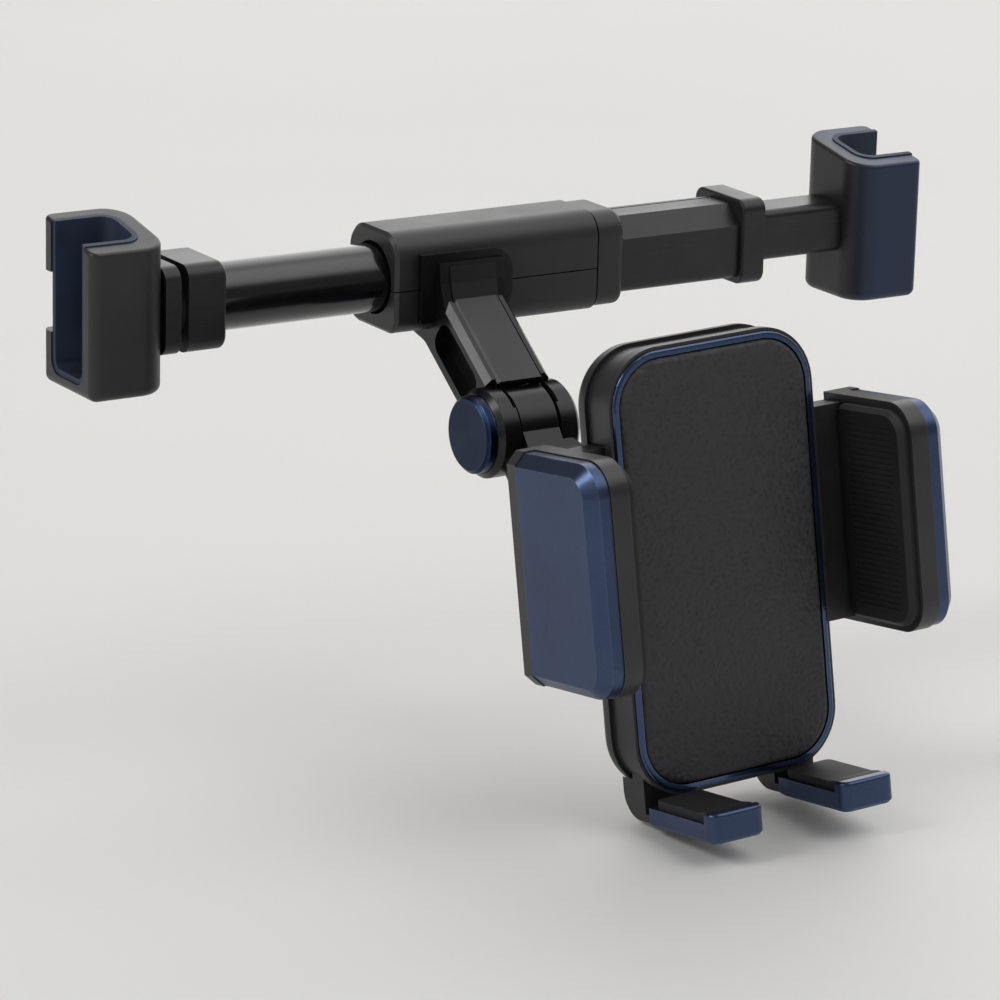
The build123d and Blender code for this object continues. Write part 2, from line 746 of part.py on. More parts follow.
flange_y0 = body_t + seat_gap
flange_y1 = flange_y0 + seat_flange_t
with BuildPart() as ball_seat:
    rod_y(0, flange_y0, ball_y + seat_end, 0, seat_r)
    rod_y(0, flange_y0, flange_y1, 0, seat_flange_r)
    with Locations((0, ball_y, 0)):
        Sphere(ball_r + run_fit, mode=Mode.SUBTRACT)
save_cradle(ball_seat.part, "ball_seat")

hub_y1 = body_t + hub_t
with BuildPart() as lock_ring:
    rod_y(0, hub_y1 + 0.5, ball_y + seat_end + 0.8, 0, nut_ring_r)
    chamfer(lock_ring.faces().sort_by(Axis.Y)[-1].edges(), 1.0)
    with BuildSketch(face_plane(hub_y1)):
        with PolarLocations(nut_ring_r + 0.4, 16):
            Circle(0.9)
    extrude(amount=20, mode=Mode.SUBTRACT)
    rod_y(0, hub_y1, ball_y + seat_end + rest_fit, 0, seat_r + rest_fit, Mode.SUBTRACT)
    rod_y(0, hub_y1, ball_y + 3 * ball_r, 0, seat_r - nut_lip, Mode.SUBTRACT)
save_cradle(lock_ring.part, "lock_ring")

with BuildPart() as hub_ring:
    rod_y(0, body_t, hub_y1, 0, hub_r)
    chamfer(hub_ring.faces().sort_by(Axis.Y)[-1].edges(), 1.0)
    rod_y(0, body_t - 1, flange_y1 + side_play, 0, seat_flange_r + run_fit, Mode.SUBTRACT)
    rod_y(0, body_t - 1, hub_y1 + 1, 0, seat_r + run_fit, Mode.SUBTRACT)
    for z in (-1, 1):
        for x in (-1, 1):
            rod_y(x * hub_screw_at, body_t - 1, hub_y1 + 1, z * hub_screw_at, hub_screw_r + rest_fit, Mode.SUBTRACT)
save_cradle(hub_ring.part, "hub_ring")

with BuildPart() as hub_screws:
    for z in (-1, 1):
        for x in (-1, 1):
            rod_y(x * hub_screw_at, body_t + 0.2, hub_y1 - 0.3, z * hub_screw_at, hub_screw_r)
save_cradle(hub_screws.part, "hub_screws")

# Cradle body
slot_y0 = bezel_t + 0.1
slot_y1 = body_t - back_t - 0.1
slot_z0 = jaw_z - jaw_h / 2 + 1.4
slot_z1 = jaw_z + jaw_h / 2 - 1.6
jaw_screw_z = (slot_z0 + jaw_screw_in, slot_z1 - jaw_screw_in)


def face_outline(inset):
    """Rounded outline of the cradle face."""
    RectangleRounded(face_w - 2 * inset, face_h - 2 * inset, face_r - inset)


with BuildPart() as cradle_back:
    with BuildSketch(face_plane(body_t - back_t)):
        face_outline(0)
    extrude(amount=back_t)
    fillet(cradle_back.faces().sort_by(Axis.Y)[-1].edges(), back_round)
    # boss of the pinion and screw holes of the hub
    rod_y(0, slot_y0 + 0.6, body_t - 2, jaw_z, pin_r)
    for z in (-1, 1):
        for x in (-1, 1):
            rod_y(x * hub_screw_at, body_t - 2.0, body_t + 1, z * hub_screw_at, 1.2, Mode.SUBTRACT)
save_cradle(cradle_back.part, "cradle_back")

with BuildPart() as bezel:
    with BuildSketch(face_plane(0)):
        face_outline(0)
    extrude(amount=bezel_t)
    chamfer(bezel.faces().sort_by(Axis.Y)[-1].edges(), bezel_round)
    # recess that takes the trim ring and the pad
    with BuildSketch(face_plane(0)):
        face_outline(bezel_rim)
    extrude(amount=ring_sink, mode=Mode.SUBTRACT)
save_cradle(bezel.part, "bezel")

with BuildPart() as trim_ring:
    with BuildSketch(face_plane(-ring_proud)):
        face_outline(bezel_rim + rest_fit)
    extrude(amount=ring_proud + ring_sink - rest_fit)
    fillet(trim_ring.faces().sort_by(Axis.Y)[0].edges(), 0.6)
    with BuildSketch(face_plane(-2 * ring_proud)):
        face_outline(ring_w)
    extrude(amount=4 * ring_proud + ring_sink, mode=Mode.SUBTRACT)
save_cradle(trim_ring.part, "trim_ring")

with BuildPart() as front_pad:
    with BuildSketch(face_plane(-pad_proud)):
        face_outline(ring_w + 0.15)
    extrude(amount=pad_proud + ring_sink - rest_fit)
    fillet(front_pad.faces().sort_by(Axis.Y)[0].edges(), 1.2)
save_cradle(front_pad.part, "front_pad")

mid_frames = (("mid_frame_top", slot_z1 + seam, 2 * half_h), ("mid_frame_bottom", -2 * half_h, slot_z0 - seam))
for name, low, high in mid_frames:
    with BuildPart() as mid_frame:
        with BuildSketch(face_plane(slot_y0 - 0.1)):
            face_outline(layer_inset)
        extrude(amount=slot_y1 - slot_y0 + 0.2)
        block(-face_w, face_w, -1, body_t, low - 3 * face_h, low, Mode.SUBTRACT)
        block(-face_w, face_w, -1, body_t, high, high + 3 * face_h, Mode.SUBTRACT)
        if low < slot_z0 - seam - 1:
            for side in (-1, 1):
                block(side * foot_x - strut_w / 2 - rest_fit, side * foot_x + strut_w / 2 + rest_fit,
                      strut_y0 - rest_fit, strut_y1 + rest_fit, strut_top, -2 * half_h, Mode.SUBTRACT)
    save_cradle(mid_frame.part, name)

# Jaws with racks and pinion


def rack_teeth(low, up, x0, x1):
    """Teeth of a rack from x0 to x1, pitch line at height low, pointing along up."""
    pitch = pi * gear_module
    first = int(x0 / pitch) - 2
    for i in range(first, first + int((x1 - x0) / pitch) + 5):
        x = (i + 0.5) * pitch
        if x - tooth_root > x0 and x + tooth_root < x1:
            foot = tooth_root / 2 + 0.35
            tip = tooth_tip / 2
            Polygon((x - foot, low - up * tooth_ded), (x + foot, low - up * tooth_ded),
                    (x + tip, low + up * tooth_add), (x - tip, low + up * tooth_add), align=None)


def jaw_slide(side):
    """Slide plate with its rack; it reaches past the pinion and runs in a slot of the other plate."""
    rack_z = jaw_z - side * gear_pitch_r
    away_z = -side
    base = rack_z + away_z * tooth_ded
    arm_far = base + away_z * rack_back
    other = 2 * jaw_z - arm_far
    other_near = 2 * jaw_z - base
    x_in = side * plate_edge
    x_out = side * (jaw_open / 2 + jaw_pad_t)
    with BuildPart() as slide:
        with BuildSketch(Plane(origin=(0, slot_y0, 0), x_dir=(1, 0, 0), z_dir=(0, -1, 0))):
            with Locations(((x_in + x_out) / 2, (slot_z0 + slot_z1) / 2)):
                Rectangle(abs(x_out - x_in), slot_z1 - slot_z0)
            with Locations((x_in - side * rack_reach, (base + arm_far) / 2)):
                Rectangle(2 * rack_reach, abs(arm_far - base))
            rack_x = sorted((x_in - side * 2 * rack_reach, x_in))
            rack_teeth(rack_z, -away_z, rack_x[0], rack_x[1])
            # channel for the rack of the other jaw
            near = other_near + away_z * (tooth_ded + tooth_add + channel_gap)
            far = other - away_z * channel_gap
            with Locations((x_in + side * channel_len / 2 - side * 0.01, (near + far) / 2)):
                Rectangle(channel_len, abs(near - far), mode=Mode.SUBTRACT)
        extrude(amount=-(slot_y1 - slot_y0))
        for z in jaw_screw_z:
            rod_x(x_out + side, x_out - side * (jaw_screw_len + 0.5), jaw_screw_y, z, jaw_screw_r + rest_fit,
                  Mode.SUBTRACT)
    return slide.part


def side_plane(x):
    """Sketch plane across the cradle at x, its sketch axes are y and z."""
    return Plane(origin=(x, 0, 0), x_dir=(0, 1, 0), z_dir=(1, 0, 0))


def jaw_outline(front, back, inset, r_front, r_back):
    """Side view of a jaw with larger corners at the front."""
    z0 = jaw_z - jaw_h / 2 + inset
    z1 = jaw_z + jaw_h / 2 - inset
    with BuildSketch(mode=Mode.PRIVATE) as outline:
        with Locations(((front + back) / 2, (z0 + z1) / 2)):
            rect = Rectangle(back - front, z1 - z0)
        fillet(rect.vertices().sort_by(Axis.X)[:2], r_front)
        if r_back > 0:
            fillet(outline.vertices().sort_by(Axis.X)[-2:], r_back)
    return outline.sketch


def jaw_core(side):
    """Black core of a jaw: a plate under the coloured shell and a strip behind it."""
    x_in = side * (jaw_open / 2 + jaw_pad_t)
    x_plate = x_in + side * jaw_core_t
    with BuildPart() as core:
        with BuildSketch(side_plane(x_in)):
            add(jaw_outline(jaw_front, jaw_back, 0, jaw_front_r, 0))
        extrude(amount=side * (jaw_t - jaw_pad_t))
        outer = core.faces().sort_by(Axis.X)[0 if side < 0 else -1]
        chamfer(outer.edges().sort_by(Axis.Y)[:-1], shell_bevel)
        block(x_plate, x_plate + side * jaw_t, 2 * jaw_front, shell_back + rest_fit, jaw_z - jaw_h, jaw_z + jaw_h,
              Mode.SUBTRACT)
        for z in jaw_screw_z:
            rod_x(x_in - side, x_in + side * jaw_t, jaw_screw_y, z, jaw_screw_r + rest_fit, Mode.SUBTRACT)
            rod_x(x_plate - side * (jaw_head_t + rest_fit), x_in + side * jaw_t, jaw_screw_y, z,
                  jaw_head_r + rest_fit, Mode.SUBTRACT)
    return core.part


def jaw_shell(side):
    """Coloured outer shell of a jaw, bevelled at the top, the front and the foot."""
    x_in = side * (jaw_open / 2 + jaw_pad_t + jaw_core_t + rest_fit)
    x_out = side * (jaw_open / 2 + jaw_t)
    with BuildPart() as shell:
        with BuildSketch(side_plane(x_in)):
            add(jaw_outline(jaw_front + shell_inset, shell_back, shell_inset, jaw_front_r - shell_inset, 0))
        extrude(amount=x_out - x_in, dir=(1, 0, 0))
        outer = shell.faces().sort_by(Axis.X)[0 if side < 0 else -1]
        chamfer(outer.edges().sort_by(Axis.Y)[:-1], shell_bevel)
    return shell.part


def jaw_pad(side):
    """Ribbed rubber pad on the phone side."""
    x_in = side * jaw_open / 2
    x_out = side * (jaw_open / 2 + jaw_pad_t)
    with BuildPart() as pad:
        with BuildSketch(side_plane(x_out)):
            add(jaw_outline(jaw_front + 1.0, slot_y0 - 0.6, 1.6, 6.0, jaw_back_r))
        extrude(amount=x_in - x_out, dir=(1, 0, 0))
        inner = pad.faces().sort_by(Axis.X)[-1 if side < 0 else 0]
        chamfer(inner.edges(), 1.0)
        grooves = int((jaw_h - 2 * pad_edge) / rib_pitch)
        for i in range(grooves):
            z = jaw_z + (i - (grooves - 1) / 2) * rib_pitch
            block(x_in - side, x_in + side * rib_depth, jaw_front + pad_edge, slot_y0 - pad_edge, z - rib_w / 2,
                  z + rib_w / 2, Mode.SUBTRACT)
    return pad.part


for side, label in ((-1, "left"), (1, "right")):
    save_cradle(jaw_slide(side), label + "_slide")
    save_cradle(jaw_core(side), label + "_jaw_core")
    save_cradle(jaw_shell(side), label + "_jaw_shell")
    save_cradle(jaw_pad(side), label + "_jaw_pad")
    with BuildPart() as jaw_screws:
        x_core = side * (jaw_open / 2 + jaw_pad_t)
        x_head = x_core + side * (jaw_core_t - jaw_head_t)
        for z in jaw_screw_z:
            rod_x(x_core - side * jaw_screw_len, x_head + side * 0.2, jaw_screw_y, z, jaw_screw_r)
            rod_x(x_head, x_head + side * (jaw_head_t - 0.1), jaw_screw_y, z, jaw_head_r)
    save_cradle(jaw_screws.part, label + "_jaw_screws")

with BuildPart() as pinion:
    with BuildSketch(face_plane(slot_y0 + 0.3)):
        with Locations((0, jaw_z)):
            Circle(gear_pitch_r - tooth_ded)
        for i in range(gear_teeth):
            a = 2 * pi * i / gear_teeth
            c, s = cos(a), sin(a)
            tooth = [(gear_pitch_r - tooth_ded - 0.3, -tooth_root / 2 - 0.15), (gear_pitch_r, -0.62),
                     (gear_pitch_r + tooth_add, -tooth_tip / 2), (gear_pitch_r + tooth_add, tooth_tip / 2),
                     (gear_pitch_r, 0.62), (gear_pitch_r - tooth_ded - 0.3, tooth_root / 2 + 0.15)]
            with BuildLine():
                Polyline([(r * c - t * s, jaw_z + r * s + t * c) for r, t in tooth], close=True)
            make_face()
        with Locations((0, jaw_z)):
            Circle(pin_r + run_fit, mode=Mode.SUBTRACT)
    extrude(amount=slot_y1 - slot_y0 - 0.6)
save_cradle(pinion.part, "pinion")

# Feet
for side, label in ((-1, "left"), (1, "right")):
    x = side * foot_x
    toe = foot_rear - strut_toe
    with BuildPart() as strut:
        with BuildSketch(side_plane(x - strut_w / 2)):
            with BuildLine():
                Polyline((strut_y0, strut_top - rest_fit), (strut_y1, strut_top - rest_fit), (strut_y1, strut_shoulder),
                         (strut_rear, strut_shoulder), (strut_rear, foot_bottom + rest_fit), (toe, foot_bottom + rest_fit),
                         (toe, foot_bottom + strut_toe_t), (strut_y0, foot_bottom + strut_toe_t), close=True)
            make_face()
        extrude(amount=strut_w)
        fillet(strut.edges().filter_by(Axis.X).sort_by_distance((x, strut_rear, foot_bottom))[0], strut_corner)
        # the heel follows the edge of the cradle back
        with BuildSketch(face_plane(strut_y1)):
            face_outline(-rest_fit)
        extrude(amount=strut_rear, mode=Mode.SUBTRACT)
    save_cradle(strut.part, label + "_foot_strut")

    with BuildPart() as foot_shell:
        block(x - foot_w / 2, x + foot_w / 2, foot_front, foot_rear, foot_bottom, foot_top)
        block(x - foot_w / 2, x + foot_w / 2, foot_front, foot_front + lip_t, foot_bottom, lip_top)
        fillet(foot_shell.edges().filter_by(Axis.Z).sort_by(Axis.Y)[:2], foot_corner)
        chamfer(foot_shell.faces().sort_by(Axis.Z)[0].edges(), 0.7)
        fillet(foot_shell.faces().sort_by(Axis.Z)[-1].edges(), 0.8)
        block(x - strut_w / 2 - rest_fit, x + strut_w / 2 + rest_fit, toe - rest_fit, foot_rear + 1,
              foot_bottom - 1, foot_bottom + strut_toe_t + rest_fit, Mode.SUBTRACT)
    save_cradle(foot_shell.part, label + "_foot_shell")

    with BuildPart() as foot_pad:
        pad_front = foot_front + lip_t + rest_fit
        with BuildSketch(side_plane(x - foot_w / 2 + 1)):
            with BuildLine():
                Polyline((foot_rear - 1.5, foot_top), (pad_front, foot_top), (pad_front, foot_top + foot_pad_rise),
                         (pad_front + foot_pad_lip, foot_top + foot_pad_rise),
                         (pad_front + 2 * foot_pad_lip + 1, foot_top + foot_pad_t),
                         (foot_rear - 1.5, foot_top + foot_pad_t), close=True)
            make_face()
        extrude(amount=foot_w - 2)
        fillet(foot_pad.edges().filter_by(Axis.Z).sort_by(Axis.Y)[-2:], 1.2)
    save_cradle(foot_pad.part, label + "_foot_pad")
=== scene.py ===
import json
import math

import bmesh
import bpy
from mathutils import Matrix, Vector


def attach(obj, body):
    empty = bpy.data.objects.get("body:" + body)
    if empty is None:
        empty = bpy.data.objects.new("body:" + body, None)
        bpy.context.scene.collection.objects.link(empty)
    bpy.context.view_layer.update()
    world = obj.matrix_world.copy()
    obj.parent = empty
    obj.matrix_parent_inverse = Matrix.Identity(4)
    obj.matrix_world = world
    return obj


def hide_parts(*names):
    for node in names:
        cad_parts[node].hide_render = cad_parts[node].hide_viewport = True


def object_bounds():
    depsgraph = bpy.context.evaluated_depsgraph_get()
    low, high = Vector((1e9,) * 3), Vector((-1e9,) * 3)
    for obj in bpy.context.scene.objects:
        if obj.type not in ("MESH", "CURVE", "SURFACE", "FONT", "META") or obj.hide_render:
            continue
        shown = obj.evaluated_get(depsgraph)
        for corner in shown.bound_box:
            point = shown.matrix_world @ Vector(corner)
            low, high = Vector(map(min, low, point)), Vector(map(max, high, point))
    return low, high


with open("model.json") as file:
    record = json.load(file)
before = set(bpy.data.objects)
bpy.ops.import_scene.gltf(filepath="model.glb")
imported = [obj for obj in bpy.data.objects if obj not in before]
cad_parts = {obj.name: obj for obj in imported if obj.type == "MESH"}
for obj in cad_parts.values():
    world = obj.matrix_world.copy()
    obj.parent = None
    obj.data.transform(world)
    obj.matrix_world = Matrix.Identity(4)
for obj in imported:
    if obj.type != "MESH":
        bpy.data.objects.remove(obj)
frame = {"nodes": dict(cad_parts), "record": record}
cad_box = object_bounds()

MM = 0.001
nodes = frame["nodes"]
slot_of = {row["node"]: row["material_slot"] for row in frame["record"]["subparts"]}

# Cradle pose: the frame of the phone cradle inside the row frame
CRADLE_ORIGIN = Vector((-2.0, -97.7, -45.9)) * MM
CRADLE_LEAN = math.radians(8.2)
CRADLE_ROLL = math.radians(2.2)
CRADLE = (Matrix.Translation(CRADLE_ORIGIN) @ Matrix.Rotation(-CRADLE_LEAN, 4, "X")
          @ Matrix.Rotation(-CRADLE_ROLL, 4, "Y"))

# Camera measured from the photograph
CAMERA_PLACE = (-0.57153, -0.90138, 0.25383)
CAMERA_AXES = ((0.84741, -0.53037, 0.0248), (0.12854, 0.25025, 0.95961), (-0.51515, -0.80999, 0.28024))
LENS = 169.6
SENSOR_WIDTH = 36.0
CLIP_NEAR, CLIP_FAR = 0.01, 40.0

# Sizes of the surface features, in metres
BROAD_TONE = 0.018
PLASTIC_GRAIN = 0.0004
METAL_GRAIN = 0.0005
RUBBER_GRAIN = 0.0003
# The painted edge highlight: how far it reaches from an edge, and the size of the gaps in it
EDGE_HIGHLIGHT_REACH = 0.0005
EDGE_BREAKS = 0.0015
GRAIN_DEPTH = 0.00006
METAL_DEPTH = 0.00004
PEBBLE = 0.0012
PEBBLE_WARP = 0.002
PEBBLE_GRAIN = 0.00025
PEBBLE_DEPTH = 0.0003
SPUN_LINE = 0.00016
# Reach of the painted highlight on the knob's rim
SPUN_HIGHLIGHT_REACH = 0.0004
SPUN_DEPTH = 0.00002

# Where the painted navy reflection on the right hook starts and where it is full, left of its middle
NAVY_SHEEN_START, NAVY_SHEEN_FULL = 9.5 * MM, 4.5 * MM

SOFT_EDGE = 0.2 * MM
SOFT_ANGLE = 38
SOFT_STEPS = 3

# Front pad, softly rounded and slightly domed, in millimetres
PAD_W, PAD_H, PAD_CORNER = 48.8, 94.3, 10.7
PAD_LEAST_CORNER = 0.6
PAD_BACK, PAD_FACE = 1.2, -1.25
PAD_ROUND = 1.5
PAD_ROUND_STEPS = 6
PAD_DOME = 0.25
PAD_DOME_REACH = 5
PAD_DOME_STEPS = (3.0, 5.0, 8.0, 12.0, 17.0)
CORNER_STEPS = 14

# Floor, seen up to the top of the picture
FLOOR_SIZE = 16
FLOOR_GAP = 1.0 * MM
FLOOR_CLOUDS = 0.35
FLOOR_SHEEN = 0.002
FLOOR_GRAIN = 0.0006
FLOOR_DEPTH = 0.0001

# Studio light: a plain sky with soft bright patches, so the floor is lit evenly
SKY_COLOUR = (1.0, 0.995, 0.985, 1)
SKY_BASE = 0.2
SKY_PATCHES = (
    # direction, angle where the patch starts, angle where it is full, brightness
    ((0.68, 0.66, 0.46), 46, 14, 1.7),
    ((0.45, -0.3, 0.82), 34, 8, 1.7),
    ((-0.9, -0.1, 0.45), 34, 10, 0.6),
    ((-0.66, 0.14, 0.64), 12, 5, 8.0),
)


class Shader:
    """Small helper that builds one node material."""

    def __init__(self, name):
        self.mat = bpy.data.materials.new(name)
        self.mat.use_nodes = True
        self.tree = self.mat.node_tree
        self.bsdf = self.tree.nodes["Principled BSDF"]
        self.coord = self.tree.nodes.new("ShaderNodeTexCoord").outputs["Object"]

    def set(self, **values):
        """Constant values on the shader's own sockets."""
        for key, value in values.items():
            self.bsdf.inputs[key.replace("_", " ")].default_value = value
        return self

    def node(self, kind, **values):
        """New node; a value goes to the input of that name, or else to the property."""
        made = self.tree.nodes.new(kind)
        for key, value in values.items():
            if key in made.inputs:
                made.inputs[key].default_value = value
            else:
                setattr(made, key, value)
        return made

    def link(self, a, b):
        self.tree.links.new(a, b)

    def mapped(self, scale, shift=(0, 0, 0)):
        """Object coordinates moved and stretched along each axis."""
        mapping = self.node("ShaderNodeMapping", Location=shift, Scale=scale)
        self.link(self.coord, mapping.inputs["Vector"])
        return mapping.outputs["Vector"]

    def noise(self, size, detail=3.0, rough=0.55, stretch=(1, 1, 1)):
        """Noise with features of the given size in metres."""
        tex = self.node("ShaderNodeTexNoise", Scale=1 / size, Detail=detail, Roughness=rough)
        self.link(self.mapped(stretch), tex.inputs["Vector"])
        return tex.outputs["Fac"]

    def spread(self, value, low, high, from_low=0.3, from_high=0.7):
        """Maps a texture value to a range."""
        ramp = self.node("ShaderNodeMapRange")
        ramp.inputs["From Min"].default_value = from_low
        ramp.inputs["From Max"].default_value = from_high
        ramp.inputs["To Min"].default_value = low
        ramp.inputs["To Max"].default_value = high
        self.link(value, ramp.inputs["Value"])
        return ramp.outputs["Result"]

    def blend(self, factor, first, second):
        """Colour between two sockets or constant colours."""
        mix = self.node("ShaderNodeMix", data_type="RGBA")
        self.link(factor, mix.inputs["Factor"])
        for socket, value in ((mix.inputs[6], first), (mix.inputs[7], second)):
            if isinstance(value, tuple):
                socket.default_value = (*value, 1)
            else:
                self.link(value, socket)
        return mix.outputs[2]

    def colour(self, socket):
        self.link(socket, self.bsdf.inputs["Base Color"])
        return self

    def roughness(self, value, low, high):
        self.link(self.spread(value, low, high), self.bsdf.inputs["Roughness"])
        return self

    def bump(self, value, strength, distance):
        bump = self.node("ShaderNodeBump", Strength=strength, Distance=distance)
        self.link(value, bump.inputs["Height"])
        self.link(bump.outputs["Normal"], self.bsdf.inputs["Normal"])
        return self

    def edges(self, reach, strength):
        """Mask that is high near edges, broken up by noise; it places the painted edge highlight."""
        rounded = self.node("ShaderNodeBevel", samples=4, Radius=reach)
        flat = self.node("ShaderNodeNewGeometry")
        dot = self.node("ShaderNodeVectorMath", operation="DOT_PRODUCT")
        self.link(rounded.outputs["Normal"], dot.inputs[0])
        self.link(flat.outputs["Normal"], dot.inputs[1])
        mask = self.spread(dot.outputs["Value"], strength, 0.0, 0.86, 0.995)
        broken = self.node("ShaderNodeMath", operation="MULTIPLY")
        self.link(mask, broken.inputs[0])
        self.link(self.spread(self.noise(EDGE_BREAKS, 4.0), 0.25, 1.0), broken.inputs[1])
        return broken.outputs[0]


def lighter(colour, gain, lift):
    """Colour made brighter, and kept within white."""
    return tuple(min(1.0, c * gain + lift) for c in colour)


def surface(name, dark, light, rough, grain, bump, metallic=0.0, stretch=(1, 1, 1), coat=0.0,
            edge_highlight=0.5, depth=GRAIN_DEPTH):
    """Plastic or painted metal: fine grain, broad tone and sheen variation, and a painted highlight along the
    edges.
    """
    s = Shader(name)
    fine = s.noise(grain, 2.5, 0.6, stretch)
    broad = s.noise(BROAD_TONE, 3.0)
    body = s.blend(s.spread(broad, 0, 1), dark, light)
    body = s.blend(s.spread(fine, 0, 0.35, 0.55, 0.8), body, lighter(light, 1.8, 0.004))
    # Painted highlight: the colour is made lighter along the edges
    s.colour(s.blend(s.edges(EDGE_HIGHLIGHT_REACH, edge_highlight), body, lighter(light, 2.6, 0.02)))
    s.roughness(broad, rough - 0.04, rough + 0.05)
    s.bump(fine, bump, depth)
    s.set(Metallic=metallic, Coat_Weight=coat, Coat_Roughness=0.06)
    return s


def plastic(name, dark, light, rough):
    return surface(name, dark, light, rough, PLASTIC_GRAIN, 0.35).mat


def metal(name, dark, light, rough, metallic, stretch=(1, 1, 1), coat=0.0):
    return surface(name, dark, light, rough, METAL_GRAIN, 0.12, metallic, stretch, coat,
                   0.6, METAL_DEPTH).mat


def rubber(name, dark, light):
    return surface(name, dark, light, 0.6, RUBBER_GRAIN, 0.3, edge_highlight=0.35).mat


def painted_navy_sheen(name, black, navy, start, end):
    """Hook plastic with sparkling flakes and a painted navy reflection towards the mouth of the hook."""
    s = Shader(name)
    fine = s.noise(PLASTIC_GRAIN, 2.5, 0.6)
    broad = s.noise(BROAD_TONE, 3.0)
    split = s.node("ShaderNodeSeparateXYZ")
    s.link(s.coord, split.inputs[0])
    along = s.spread(split.outputs["X"], 0, 1, start, end)
    # Painted reflection: the colour turns from black to navy along X towards the mouth
    body = s.blend(along, black, navy)
    body = s.blend(s.spread(fine, 0, 0.5, 0.55, 0.8), body, lighter(navy, 1.5, 0.01))
    # Painted highlight: lighter navy along the edges
    s.colour(s.blend(s.edges(EDGE_HIGHLIGHT_REACH, 0.5), body, lighter(navy, 2.0, 0.03)))
    s.roughness(broad, 0.36, 0.44)
    s.link(s.spread(along, 0.0, 0.6, 0, 1), s.bsdf.inputs["Metallic"])
    s.bump(fine, 0.35, GRAIN_DEPTH)
    return s.mat


def leatherette(name):
    """Black pebbled pad: rounded cells with creases and fine grain over them, and painted shade that darkens
    the low parts of the grain.
    """
    s = Shader(name)
    cells = s.node("ShaderNodeTexVoronoi", Scale=1 / PEBBLE, feature="SMOOTH_F1", Smoothness=0.6)
    warp = s.node("ShaderNodeVectorMath", operation="ADD")
    wave = s.node("ShaderNodeTexNoise", Scale=1 / PEBBLE_WARP, Detail=2.0)
    s.link(s.coord, wave.inputs["Vector"])
    gain = s.node("ShaderNodeVectorMath", operation="SCALE", Scale=PEBBLE)
    s.link(wave.outputs["Color"], gain.inputs[0])
    s.link(s.coord, warp.inputs[0])
    s.link(gain.outputs["Vector"], warp.inputs[1])
    s.link(warp.outputs["Vector"], cells.inputs["Vector"])
    fine = s.noise(PEBBLE_GRAIN, 2.0)
    height = s.node("ShaderNodeMath", operation="MULTIPLY_ADD")
    s.link(fine, height.inputs[0])
    height.inputs[1].default_value = 0.2
    s.link(cells.outputs["Distance"], height.inputs[2])
    # Painted shade: the colour follows the height of the grain, darker in the low parts and lighter on the
    # raised ones
    relief_shade = s.spread(cells.outputs["Distance"], 0, 1, 0.1, 0.6)
    tone = s.blend(relief_shade, (0.02, 0.02, 0.023), (0.04, 0.04, 0.045))
    s.colour(s.blend(s.spread(s.noise(0.02, 3.0), 0, 0.3), tone, (0.05, 0.05, 0.056)))
    s.roughness(cells.outputs["Distance"], 0.5, 0.66)
    s.bump(height.outputs[0], 0.9, PEBBLE_DEPTH)
    return s.mat


def spun(name, centre):
    """Anodised disc with turning lines round its centre, a radial sheen, and a painted highlight on its rim.
    """
    s = Shader(name)
    flat = s.mapped((0, 1, 1), (0, -centre[1], -centre[2]))
    radius = s.node("ShaderNodeVectorMath", operation="LENGTH")
    s.link(flat, radius.inputs[0])
    lines = s.node("ShaderNodeTexNoise", noise_dimensions="1D", Scale=1 / SPUN_LINE, Detail=2.0)
    s.link(radius.outputs["Value"], lines.inputs["W"])
    body = s.blend(s.spread(lines.outputs["Fac"], 0, 1), (0.01, 0.018, 0.045), (0.022, 0.036, 0.08))
    # Painted highlight: the rim is coloured bright blue
    s.colour(s.blend(s.edges(SPUN_HIGHLIGHT_REACH, 0.8), body, (0.16, 0.22, 0.38)))
    s.roughness(lines.outputs["Fac"], 0.26, 0.36)
    s.bump(lines.outputs["Fac"], 0.18, SPUN_DEPTH)
    tangent = s.node("ShaderNodeTangent", direction_type="RADIAL", axis="X")
    s.link(tangent.outputs["Tangent"], s.bsdf.inputs["Tangent"])
    s.set(Metallic=1.0, Anisotropic=0.85)
    return s.mat


def local_centre(obj):
    """Middle of a piece's own box."""
    corners = [Vector(c) for c in obj.bound_box]
    return sum(corners, Vector()) / len(corners)


